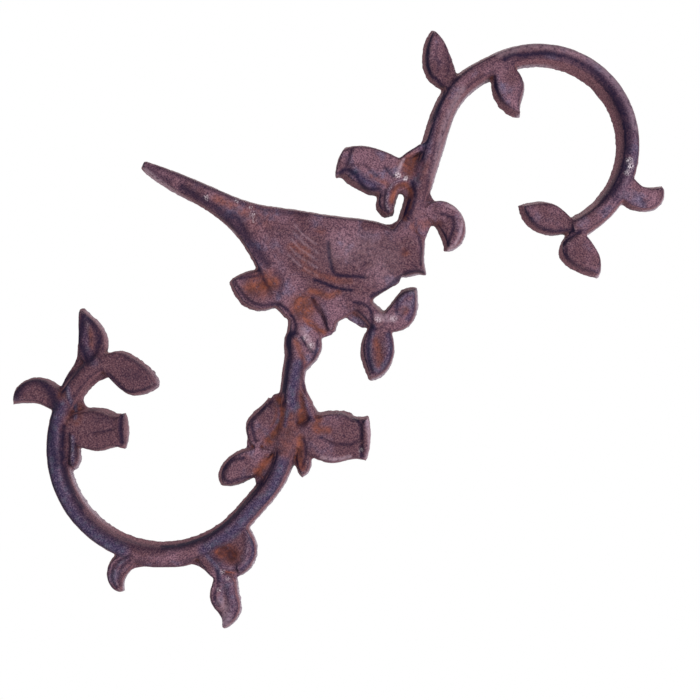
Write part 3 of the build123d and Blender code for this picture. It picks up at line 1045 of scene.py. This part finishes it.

# Strokes of the pattern maker's tool and of the antiquing brush, some of them painted shade and painted
# highlights, from the head of the hook down
STROKES: tuple[Stroke, ...] = (
    # Upper hook: the outer leaf, whose lower line runs on down the vine, its rib, vein and upper line
    Stroke(((-56.7, -36.4), (-54.3, -39.8), (-50, -43.5), (-46.1, -45), (-42.6, -44.4), (-38.9, -44.6),
            (-36.7, -46.1), (-34.7, -50.1), (-31.8, -56.1)), 1.1, 0.4, strength=0.8),
    Stroke(((-53.1, -36.1), (-50, -39.2), (-47.1, -40.5), (-44.9, -42.5)), 0.8, 0.4, strength=0.5),
    Stroke(((-48.1, -36.3), (-47, -40.3)), 0.7, 0.25, strength=0.4),
    Stroke(((-50.6, -34.1), (-46, -36.4), (-42.4, -39.4)), 0.8, 0.3, strength=0.5),
    # Upper hook: the inner leaf's two lines and its root
    Stroke(((-30.1, -27.4), (-25.6, -29.3), (-21.2, -30.7), (-16.9, -30.7), (-13.8, -28.5)), 1.1, 0.4),
    Stroke(((-25.5, -19), (-21.2, -20.6), (-19.3, -24.1), (-15.9, -26.8)), 0.8, 0.2, strength=0.5),
    Stroke(((-31, -28), (-26.5, -29)), 1.3, 0.7),
    # Upper hook: painted shade along its inner shoulder, the bloom on its crest, painted highlights on its
    # outside and down the vine, and the vine on both sides
    Stroke(((-32.5, -20.7), (-32, -17.2), (-29.4, -14.2), (-26.7, -9.9), (-23.6, -6), (-20.3, -3.5)), 1.7,
           strength=0.9),
    Stroke(arc((-1.0, -29.8), 33.0, 137, 8), 1.8, strength=0.85),
    Stroke(arc(UPPER, 35.5, 110, 15), 3.0, tone=Tone.SLATE, strength=0.45),
    Stroke(arc(UPPER, 32.8, 85, 15), 2.4, strength=0.85),
    Stroke(arc(UPPER, 37.0, 165, 60), 2.8, tone=Tone.LIGHT, strength=0.35),
    Stroke(((-34, -39.8), (-28.2, -52.2), (-21.2, -61), (-14.6, -69)), 2.0, tone=Tone.LIGHT, strength=0.3),
    Stroke(((-32.6, -31), (-33.7, -36.1), (-33.1, -41.7), (-31.3, -47)), 1.8, tone=Tone.BROWN,
           strength=0.8),
    Stroke(((29.5, -15), (30.9, -19.9), (31.6, -24.3), (31.9, -27.4)), 1.0, 0.2, strength=0.6),
    Stroke(((33.7, -19.9), (34.7, -24), (34.9, -27.9)), 0.8, 0.2, strength=0.5),
    # Upper hook: the end leaves, the fork between them and the curl
    Stroke(((13.9, -49.7), (17.2, -50.3), (21.2, -50.2), (25, -49), (28.5, -46.5), (31.1, -42.9),
            (32.5, -40.3)), 1.1, 0.4),
    Stroke(((35.2, -38.7), (35, -41.3), (34.7, -44), (35, -46.1)), 1.2, 0.9, strength=0.9),
    Stroke(((36.6, -46.4), (39.3, -48.4), (42.6, -48.4), (46.3, -46.7), (50.2, -44.6)), 1.1, 0.4),
    Stroke(((41.5, -13.2),), 2.2, 0.5, strength=0.6),
    # Vine from the upper hook to the bird, with a line of painted shade along it
    Stroke(((-38.4, -46.6), (-29.6, -58.8), (-17.6, -75.8)), 2.8, tone=Tone.SLATE, strength=0.65),
    Stroke(((-24.6, -59.8), (-20.5, -64.9), (-16.7, -69.7), (-12.9, -73.6)), 0.9, strength=0.45),
    Stroke(((-18.4, -76.1), (-14.7, -77.9), (-11.6, -81.5), (-9, -85.8)), 1.3, 0.3, strength=0.9),
    # Rosebud at the neck: its lip, the dark corner, the petal with its crease and fold, the hollow behind,
    # and a painted highlight on a ridge
    Stroke(((-42.5, -85.8), (-40, -89.5), (-38.6, -91.5)), 1.1, 0.6),
    Stroke(((-38.2, -94.8), (-37.8, -92.2), (-35.3, -91.2)), 1.3, 0.6, strength=0.9),
    Stroke(((-37.4, -89.5), (-32.9, -88.8), (-27.2, -87), (-24.2, -85.5)), 1.2, -0.35, Tone.SLATE, 0.5),
    Stroke(((-35, -90.4), (-31, -89.9), (-26.5, -88.2)), 2.2, 0.6, Tone.SLATE, 0.95),
    Stroke(((-34.4, -90.6), (-29.8, -91.3), (-26.8, -90.3), (-24.3, -87.2)), 1.2, 0.4, strength=0.85),
    Stroke(((-34.9, -85.9), (-30.9, -85.2), (-27.6, -84.9)), 0.9, 0.5, strength=0.5),
    Stroke(((-30, -86.6), (-26.5, -85.2), (-23.6, -84)), 1.6, 0.3, Tone.RUST, 0.5),
    Stroke(((-29.4, -80.5), (-26.8, -80.6), (-24.3, -80.1)), 1.0, 0.5, strength=0.7),
    Stroke(((-24.6, -68.9), (-22.7, -73.4), (-18.9, -73.5)), 2.4, 0.5, Tone.RUST, 0.9),
    Stroke(((-27.5, -73), (-25.7, -76.6), (-24.2, -79.1)), 0.9, -0.4, Tone.LIGHT, 0.7),
    Stroke(((-28.6, -73.8), (-28.2, -68.5), (-27.8, -65.4)), 1.0, 0.3, strength=0.7),
    # Curls at the neck: the comma with its rim, line and rusty hollow, then the hooked curl with a painted
    # highlight on its rim
    Stroke(((-21.3, -77.6), (-22.3, -81), (-21.7, -85), (-18.8, -88.4), (-16.2, -89.4)), 1.1, -0.7,
           Tone.SLATE, 0.4),
    Stroke(((-22.6, -85.5), (-20.3, -88), (-17.6, -90), (-15.4, -90)), 0.8, 0.3, strength=0.7),
    Stroke(((-18, -86.2), (-20.6, -82.7), (-19.8, -79.2), (-17, -78), (-12.8, -82.2), (-10, -86.6)), 1.7,
           0.7, Tone.RUST, 0.9),
    Stroke(((-2.8, -74.9), (1, -72.8), (3.8, -74.2), (6.6, -78.2), (8.7, -82)), 0.9, 0.6, strength=0.8),
    Stroke(((-3.9, -71.4), (0.9, -69.2), (5.5, -71.5), (9.1, -76.7), (9.7, -80.7)), 0.9, -0.2, Tone.LIGHT,
           0.5),
    Stroke(((0.1, -77.7), (4.2, -77.9), (7.1, -80.2)), 1.6, 0.3, Tone.BROWN, 0.9),
    Stroke(((-5.1, -86.3), (-3.4, -82.1), (-0.6, -78.7)), 2.8, 0.4, Tone.RUST, 0.4),
    # Bird: neck, eye and beak, and a faint painted highlight on the breast
    Stroke(((-1, -87), (3.3, -89.3), (7.4, -92.8)), 1.1, 0.2, strength=0.75),
    Stroke(((10.4, -93.8), (6.6, -98.7), (6.2, -108.2), (5, -114.7)), 1.4, strength=0.85),
    Stroke(((-17, -99.4), (-12, -92), (-12.4, -84)), 2.6, tone=Tone.BROWN, strength=0.8),
    Stroke(((-16, -114), (-10.6, -105.6), (-3.6, -101.6), (0.5, -106)), 8.5, tone=Tone.LIGHT,
           strength=0.12),
    Stroke(((-0.2, -95),), 1.5, 0.4, strength=0.6),
    Stroke(((5.5, -95.4), (9, -94.6), (11.2, -94)), 0.9, 0.5, strength=0.5),
    # Bird: the wing's leading edge, the rows under it, the rust between them and the feathers, each with a
    # painted highlight
    Stroke(((-20.8, -114.8), (-18.7, -116.2), (-14.5, -118.6), (-10.5, -120.1), (-7.2, -117.9),
            (-4.5, -114.7), (-2.2, -112.4)), 1.1, 0.5, strength=0.9),
    Stroke(((-13.2, -127.5), (-9.9, -125.3), (-7.6, -124.2), (-4.8, -122.3), (-1.3, -119.1)), 1.0, 0.5,
           strength=0.95),
    Stroke(((-18.8, -127.7), (-12.5, -124.4), (-7.7, -121.1), (-4.6, -117.6)), 1.8, 0.2, Tone.RUST, 0.5),
    Stroke(((-28, -126.5), (-23.8, -123.3), (-21, -125.4)), 2.4, tone=Tone.RUST, strength=0.5),
    Stroke(((-27, -114.9), (-24.8, -113.5)), 1.6, tone=Tone.RUST, strength=0.4),
    *(Stroke(line, 0.55, -0.15, Tone.LIGHT, 0.28) for line in FEATHERS),
    # Bird: the tail's dark tip, painted shade on the slopes along it, a painted highlight along its lower
    # edge and the rust on its back
    Stroke(((-85.3, -149.3), (-81.5, -148.8), (-76, -146.4)), 2.0, 0.2, strength=0.55),
    Stroke(((-71.3, -144.2), (-65.4, -142.1), (-60.1, -140.3), (-54.2, -138.2), (-49.5, -135.8),
            (-43.2, -136.6), (-37.9, -137.3), (-28.9, -137.5)), 2.3, 0.7, strength=0.75),
    Stroke(((-24.6, -137.1), (-21.7, -136.6), (-19.6, -138), (-17.2, -141.5)), 1.8, 0.4, strength=0.5),
    Stroke(((-84, -147.7), (-76.6, -143), (-70.7, -139.7), (-65.5, -137.1), (-60.4, -134), (-55.5, -131.8),
            (-50.4, -129.2), (-42.6, -123.2), (-34, -114.5)), 1.4, 0.2, strength=0.55),
    Stroke(((-85, -151.4), (-72.6, -148.2), (-58.3, -143.6), (-46, -140.4)), 1.5, tone=Tone.LIGHT,
           strength=0.8),
    Stroke(((-55, -139), (-42.6, -137.6), (-32.5, -137.4)), 3.4, strength=0.75),
    Stroke(((-60, -137.3), (-56.3, -135), (-50.6, -132.8), (-47.6, -131.4)), 2.2, tone=Tone.RUST,
           strength=0.55),
    # Bird: the rust in its belly's hollow, the wing's root, the foot and its pale lobe
    Stroke(((-11.3, -136.2), (-8.8, -137.6), (-4, -139.1), (0.9, -138.2), (4.1, -137.2)), 1.8, 0.2,
           Tone.RUST, 0.9),
    Stroke(((-10.8, -131.2), (-7.7, -128.9), (-5.2, -127.3), (-4, -123.5)), 1.8, 0.3, Tone.RUST, 0.8),
    Stroke(((-8.5, -132.4), (-4.3, -133.5), (-0.3, -133.7), (4.5, -135.2)), 1.0, 0.6, strength=0.75),
    Stroke(((-3.9, -130.8), (0.9, -132.3)), 1.3, -0.2, Tone.SLATE, 0.3),
    # Leaf under the bird: its line, the rust in its channel and its upper edge, then the belly's line
    Stroke(((-31.2, -151.3), (-24.2, -151.5), (-20, -150.1), (-17.5, -148), (-15.5, -144.1),
            (-14.2, -142.8)), 1.1, 0.6),
    Stroke(((-26.2, -148.1), (-23.7, -144.2), (-22.1, -140)), 4.2, 0.8, Tone.RUST, 0.95),
    Stroke(((-31.2, -148.6), (-29, -145), (-27.6, -142.8)), 0.9, 0.3, strength=0.7),
    Stroke(((-14.8, -143.6), (-10.9, -142.5), (-6.4, -142.8), (-3.4, -144.3)), 1.0, 0.3, strength=0.9),
    # Stem below the bird: its lower line, the folded leaf with its notch, a painted highlight on its top,
    # and the bloom on its crest
    Stroke(((-2.6, -145.6), (-1.6, -149.4), (2.9, -152.1), (7.3, -157.8), (11.8, -162.6)), 2.1, 0.4,
           strength=0.95),
    Stroke(((0.2, -147.3), (5.6, -148.7), (9.1, -150.3)), 1.6, 0.3, Tone.RUST, 0.7),
    Stroke(((0.6, -144.6), (3.6, -145.2), (7.2, -144.9)), 0.9, 0.7, strength=0.95),
    Stroke(((5.3, -140.9), (8.1, -144.1), (10.2, -147.5)), 1.0, 0.3, strength=0.85),
    Stroke(((-1.4, -142.6), (2.2, -143.2), (5.8, -144)), 2.0, tone=Tone.LIGHT, strength=0.35),
    Stroke(((7.6, -152.6), (10.4, -156.1), (14.4, -160.4), (18.4, -163)), 3.4, tone=Tone.SLATE,
           strength=0.95),
    Stroke(((21, -166.4), (25.4, -170.4), (29.6, -176.4)), 4.4, tone=Tone.RUST, strength=0.4),
    Stroke(((9.3, -151.6), (12.9, -154.5), (17.1, -156.7)), 1.0, 0.3, strength=0.6),
    # Stalk and pair of leaves in front of the bird, with a painted highlight where the stalk forks
    Stroke(((2.7, -121.2), (6.1, -118.5), (9.6, -118.6), (13.3, -121.3), (17.5, -126.5), (23.3, -130.6),
            (27.8, -132.4)), 1.1, 0.5, strength=0.8),
    Stroke(((14.5, -121.5), (19.3, -127.6), (25.2, -131), (28.4, -129.6), (25.8, -122.5), (20.2, -119)),
           1.6, tone=Tone.SLATE, strength=0.75),
    Stroke(((18.6, -123.8), (23.8, -126.2), (27.7, -128.8)), 1.8, 0.4, Tone.RUST, 0.6),
    Stroke(((12.6, -117.8), (16.8, -113.4)), 2.0, tone=Tone.LIGHT, strength=0.5),
    Stroke(((19.2, -117.7), (24.5, -120.8), (29.1, -126.3), (29.6, -130.9)), 0.9, 0.4, strength=0.6),
    Stroke(((15.2, -110.9), (11.9, -107.6), (11.7, -103.3), (13.5, -100)), 1.0, 0.3),
    Stroke(((14.6, -100.5), (18.9, -104.9), (21, -109.6)), 0.8, 0.2, strength=0.45),
    Stroke(((14, -109.8), (12.8, -105), (14.2, -101.6), (18.4, -105.8), (20, -109.4)), 1.5, tone=Tone.SLATE,
           strength=0.75),
    Stroke(((16.9, -108),), 2.6, 0.3, Tone.RUST, 0.6),
    # Knot: the left leaf's line, rim and rusty channel, the stems beside it
    Stroke(((12.1, -169), (12.8, -175.8), (13.9, -179.6), (19.9, -182.6)), 1.1, 0.4, strength=0.8),
    Stroke(((12.2, -167.5), (15.8, -168.3), (19.3, -171.7), (20.5, -177.3)), 1.0, -0.5, Tone.SLATE, 0.6),
    Stroke(((14, -166), (18.6, -169.2), (21.6, -174.3), (22.8, -178.6)), 3.0, 0.7, Tone.RUST, 0.95),
    Stroke(((12.7, -161.1), (17.4, -164.9), (22.3, -170.5)), 1.2, -0.3, Tone.SLATE, 0.7),
    Stroke(((16.8, -158.9), (20.9, -161.6), (25, -164)), 2.8, 0.7, Tone.RUST, 0.95),
    Stroke(((17.5, -157.1), (21.9, -159.4), (25.6, -160.6), (27.6, -160.7)), 0.9, -0.4, Tone.SLATE, 0.6),
    # Knot: the bud's rust, petals and lip, and painted highlights along its two edges
    Stroke(((28, -158.9), (30.4, -161.8), (33.6, -159.2)), 2.4, 0.4, Tone.RUST, 0.75),
    Stroke(((33.8, -162.7), (38.3, -160.6), (40.7, -158.7), (43, -155.9), (43.8, -152.3)), 0.9, 0.6,
           strength=0.65),
    Stroke(((27.7, -155.5), (30.7, -151.7), (34.4, -150.4), (37.1, -149)), 0.9, 0.3, strength=0.6),
    Stroke(((36.2, -148.4), (40.2, -148.1), (44, -151), (47.4, -153.8), (49.2, -155.2)), 1.3, 0.6,
           strength=0.85),
    Stroke(((40.4, -145.2), (45.2, -148.2), (49.4, -151.4), (50.8, -154.2)), 1.1, tone=Tone.LIGHT,
           strength=0.6),
    Stroke(((40.1, -167.2), (44.2, -163.4), (46.6, -158.6)), 1.0, tone=Tone.LIGHT, strength=0.5),
    # Knot: the sepal's line and rusty hollow
    Stroke(((30.2, -167.9), (33.3, -169.2), (36.4, -171.9), (38.7, -175.4)), 0.9, 0.5, strength=0.7),
    Stroke(((29.6, -168.8), (34.4, -173.1), (38.2, -175.2)), 2.4, 0.7, Tone.RUST, 0.9),
    # Knot: the lower leaf's lines, the rust above it and the vine that starts beside it
    Stroke(((22.1, -190.1), (20.2, -193.8), (20.9, -198.1), (23.5, -200.7), (26, -199.5)), 1.0, 0.4,
           strength=0.8),
    Stroke(((26, -199), (27.6, -195), (29.8, -191.6)), 0.9, 0.4),
    Stroke(((28.1, -183.4), (28.7, -186.6), (29.4, -189.1)), 2.6, 0.6, Tone.RUST, 0.95),
    Stroke(((29, -181), (31.3, -184.5), (33, -189), (34.7, -192)), 0.9, 0.2, strength=0.8),
    Stroke(((32.5, -180), (35.6, -184.8), (39.3, -192), *arc(LOWER, 40.8, 20, -15)), 3.6, tone=Tone.SLATE,
           strength=0.95),
    # Lower hook: painted shade along its inner shoulder, its slate crest and painted shade along its bottom
    Stroke(((33.8, -190.6), *arc(LOWER, 36.8, 20, -38)), 2.3, strength=0.95),
    Stroke(arc(LOWER, 37.2, 268, 218), 1.6, strength=0.9),
    Stroke(arc(LOWER, 37.4, 322, 268), 2.4, strength=0.5),
    Stroke(arc(LOWER, 38.2, 322, 262), 2.6, tone=Tone.BROWN, strength=0.9),
    Stroke(arc(LOWER, 40.6, 300, 208), 4.0, tone=Tone.SLATE, strength=0.95),
    Stroke(((14.2, -245.1), (20.6, -242.4), (30.1, -234.4), (35.3, -225.5), (36.6, -218.7)), 1.0,
           strength=0.6),
    Stroke(((-42, -227.5), (-43.2, -223.2), (-42.6, -218.4), (-43.2, -212.5)), 1.6, 0.2, strength=0.75),
    Stroke(((-39.3, -227.5), (-34.9, -232.6), (-29.2, -236.2)), 2.2, tone=Tone.RUST, strength=0.5),
    Stroke(((-38.5, -234.5), (-32.8, -238.1), (-26.7, -242.4), (-19.8, -245.9)), 2.0, strength=0.6),
    # Loop leaf: the round pit with its wedge and painted shade in it, the raised rim and the slate outside
    # it
    Stroke(((43.4, -218.6), (46, -217.4), (47.4, -216.8)), 5.0, 2.0, Tone.RUST, 0.95),
    Stroke(((45.4, -218.4), (47.8, -217.2)), 3.6, strength=0.5),
    Stroke(((42.6, -205.4), (47.3, -208.6), (52.2, -213.6), (52.6, -217.6), (49.6, -221.4), (43.6, -222.3),
            (39, -220.2)), 1.9, -1.0, Tone.SLATE, 0.4),
    Stroke(((42.9, -205.1), (48.3, -207.4), (52.8, -210.9), (53.9, -217)), 1.3, tone=Tone.SLATE,
           strength=0.8),
    Stroke(((39.2, -221.4), (41.7, -223.4), (47.8, -223.6), (52.3, -225.7)), 1.5, tone=Tone.SLATE,
           strength=0.8),
    # Long leaf: its lower line, its slate edge, its brown channel, a painted highlight on its face and the
    # fold at its tip
    Stroke(((48.7, -224.4), (52.9, -227.5), (55.3, -231), (59.1, -232.2)), 1.1, 0.4, strength=0.8),
    Stroke(((53.5, -224.5), (60.5, -226.5), (64, -230), (66, -234)), 3.0, -0.2, Tone.SLATE, 0.5),
    Stroke(((55.2, -226), (57.8, -228), (61.4, -230)), 1.6, 0.2, Tone.BROWN, 0.7),
    Stroke(((58.6, -230.6), (63.4, -231.4), (66, -234.2)), 2.6, tone=Tone.LIGHT, strength=0.35),
    Stroke(((61.9, -233.2), (65, -233.9), (66.6, -235.2)), 0.8, 0.3, strength=0.6),
    # Curl under the lower hook: its line, rim, inner line and brown face
    Stroke(((23.8, -245.5), (22.8, -249.9), (23.2, -253.4), (25.9, -256.6), (29.7, -257.6)), 1.0, 0.4),
    Stroke(((24, -247.2), (23.9, -251.8), (25.6, -255), (29.1, -257.1)), 0.9, -0.3, Tone.SLATE, 0.6),
    Stroke(((25.1, -247.1), (25.3, -251.4), (27.2, -254.2), (30.3, -256.2)), 0.8, 0.4, strength=0.6),
    Stroke(((28.9, -253.5),), 3.0, tone=Tone.BROWN, strength=0.8),
    # End leaves of the lower hook: the left leaf's line, ridge and valley, the right leaf's two lines and
    # the painted shade between them
    Stroke(((-57.5, -203.2), (-54.5, -206.4), (-50.9, -210.2), (-45.3, -212.2), (-42.1, -212.9)), 1.8, 0.5,
           strength=0.85),
    Stroke(((-55.5, -203), (-52, -207), (-46, -210.5), (-41, -211)), 2.4, tone=Tone.SLATE, strength=0.55),
    Stroke(((-54.3, -204.1), (-49.7, -205.6), (-46.2, -208.7)), 1.2, -0.5, Tone.RUST, 0.45),
    Stroke(((-56, -202.4), (-51.1, -202.6), (-46.8, -204), (-43.9, -207.8), (-42.2, -211.7)), 1.8, 0.6,
           strength=0.8),
    Stroke(((-36.7, -200.1), (-30.8, -197.8), (-23, -196.6), (-20.6, -198)), 2.4, 0.2, strength=0.65),
    Stroke(((-30, -204), (-25.5, -200.8)), 3.2, strength=0.3),
    Stroke(((-34.4, -209.6), (-29.6, -209.1), (-25.1, -208.3), (-21.9, -204.3), (-20, -198.6)), 1.0, 0.4,
           strength=0.75),
    # Rosebud of the lower hook: the lip, painted shade at its middle, the fold and the upper line
    Stroke(((-19.4, -214.9), (-16, -218.2), (-11, -221.7)), 1.5, 0.7, strength=0.85),
    Stroke(((-24, -222.6), (-20.4, -219.8)), 2.8, strength=0.35),
    Stroke(((-31.5, -226), (-28, -229.6)), 2.6, tone=Tone.RUST, strength=0.45),
    Stroke(((-20.3, -227.7), (-18.3, -223.8), (-17, -220.9)), 0.9, 0.5, strength=0.6),
    Stroke(((-28.1, -223.6), (-25.4, -219.7), (-21.7, -217.7)), 0.9, 0.3, strength=0.6),
    # Sepal of that bud: its slate ridge between two lines, and its foot
    Stroke(((-24.3, -234.7), (-17.4, -240.5)), 1.3, -0.8, Tone.SLATE, 0.8),
    Stroke(((-26, -234.7), (-21.4, -238.7), (-17.5, -242.7)), 0.9, 0.5, strength=0.8),
    Stroke(((-21.7, -235.6), (-15.8, -239.9)), 0.9, 0.4, strength=0.8),
    Stroke(((-17.4, -243.3), (-15.5, -240.9)), 0.9, 0.3, strength=0.8),
    # Ridge between that bud and the end leaves, and the curl outside them, with painted shade along it
    Stroke(((-39.8, -224.4), (-36.3, -226.3), (-32.9, -227.5), (-29.2, -229.1)), 1.3, -0.6, Tone.SLATE,
           0.8),
    Stroke(((-49.6, -241.5), (-51.4, -237), (-50.3, -232.8), (-46.6, -230.6), (-42, -230.8),
            (-37.4, -232.4)), 2.8, strength=0.8),
    Stroke(((-48.1, -239.7), (-46.9, -235), (-42.6, -233.6)), 1.8, 0.4, Tone.BROWN, 0.8),
)

# Places where leaves, buds and stems run into each other without a step
JOINTS: tuple[Spot, ...] = (
    Spot((-42, -50), 9.0),
    Spot((-32, -26), 7.0),
    Spot((33, -40), 11.0),
    Spot((39, -13), 8.0),
    Spot((-15, -77), 9.0),
    Spot((-3, -82), 8.0),
    Spot((-7, -93), 10.0),
    Spot((-2, -130), 12.0),
    Spot((-26, -122), 20.0),
    Spot((-14, -137), 9.0),
    Spot((-4, -137), 12.0),
    Spot((15, -118), 9.0),
    Spot((3, -147), 8.0),
    Spot((27, -168), 13.0),
    Spot((42, -214), 7.0),
    Spot((46, -216), 10.0),
    Spot((30, -238), 7.0),
    Spot((-37, -208), 11.0),
    Spot((-36, -228), 10.0),
)

# Places where the sand has filled a hollow up
FILLED: tuple[Spot, ...] = (
    Spot((-5, -80), 7.0),
    Spot((-9.5, -133), 9.0),
    Spot((-5, -138.5), 9.0),
    Spot((-18.5, -79.5), 5.0),
    Spot((-22.6, -72), 5.0),
    Spot((19.5, -169.5), 6.5),
    Spot((24, -176.5), 6.0),
    Spot((21.5, -162.5), 5.0),
    Spot((30.5, -171), 5.0),
    Spot((28.5, -186), 5.0),
    Spot((46, -215), 9.0),
)

# Places where the flash along the parting line is ragged
RAGGED: tuple[Spot, ...] = (
    Spot((-24, -153), 9.0),
    Spot((-28, -198), 9.0),
    Spot((32, -150), 8.0),
    Spot((64, -224), 7.0),
    Spot((54, -210), 7.0),
    Spot((-47, -33), 5.0),
)

# Places where the mauve is browner
BROWN: tuple[Spot, ...] = (
    Spot((-36, -217), 38.0, 1.0),
    Spot((-25, -125), 16.0, 0.6),
    Spot((-14, -123), 8.0, 0.8),
    Spot((2, -96), 9.0, 0.8),
    Spot((28, -168), 18.0, 0.7),
    Spot((15.5, -171.5), 8.0, 0.8),
    Spot((24, -194), 9.0, 0.7),
    Spot((37, -157), 12.0, 0.6),
    Spot((24, -128), 9.0, 0.6),
)

# Places where the walls get hardly any of the pale painted light
UNLIT_WALLS: tuple[Spot, ...] = (
    Spot((-36, -217), 38.0),
)

# Places that hold rust
RUST: tuple[Spot, ...] = (
    Spot((-23, -72), 7.0, 0.8),
    Spot((-24, -143), 8.0, 0.6),
    Spot((-8, -137), 7.0, 0.9),
    Spot((0.2, -94.8), 2.2, 0.6),
    Spot((-45, -128), 8.0, 0.3),
    Spot((-33, -232), 6.0, 0.4),
)

# Places that get pale painted glints, where raised metal catches the light
PAINTED_GLINTS: tuple[Spot, ...] = (
    Spot((26, -8), 1.6, 0.8),
    Spot((28.2, -9.2), 1.8, 0.9),
    Spot((29.2, -11.5), 1.4, 0.7),
    Spot((-24, -78.8), 1.6, 0.8),
    Spot((-21.3, -77.1), 1.4, 0.7),
    Spot((-62.6, -139.6), 1.2, 0.6),
    Spot((-54.3, -131.6), 1.0, 0.6),
    Spot((-49.2, -128.9), 0.9, 0.6),
    Spot((-46.3, -129.8), 1.4, 0.5),
    Spot((-44.6, -131.5), 0.9, 0.6),
    Spot((13.3, -118.4), 1.5, 0.6),
    Spot((16.5, -113.7), 1.5, 0.6),
    Spot((1.7, -143.5), 1.6, 0.4),
    Spot((5, -143.8), 1.7, 0.6),
    Spot((47.4, -153.9), 1.1, 0.4),
    Spot((54.8, -228.5), 0.9, 0.7),
    Spot((50.3, -223.1), 1.1, 0.45),
    Spot((53.5, -223), 1.0, 0.4),
)


def main() -> None:
    """Build the casting, dress it and set up the studio."""
    logging.basicConfig(level=logging.INFO, format="%(message)s")
    bpy.ops.object.select_all(action="DESELECT")
    casting = Casting()
    piece = casting.build()
    casting.dress(piece, AntiqueIron())
    log.info("casting: %d points, %d faces", len(piece.data.vertices), len(piece.data.polygons))
    Studio().build()
    log.info("studio is set")


if __name__ == "__main__":
    main()
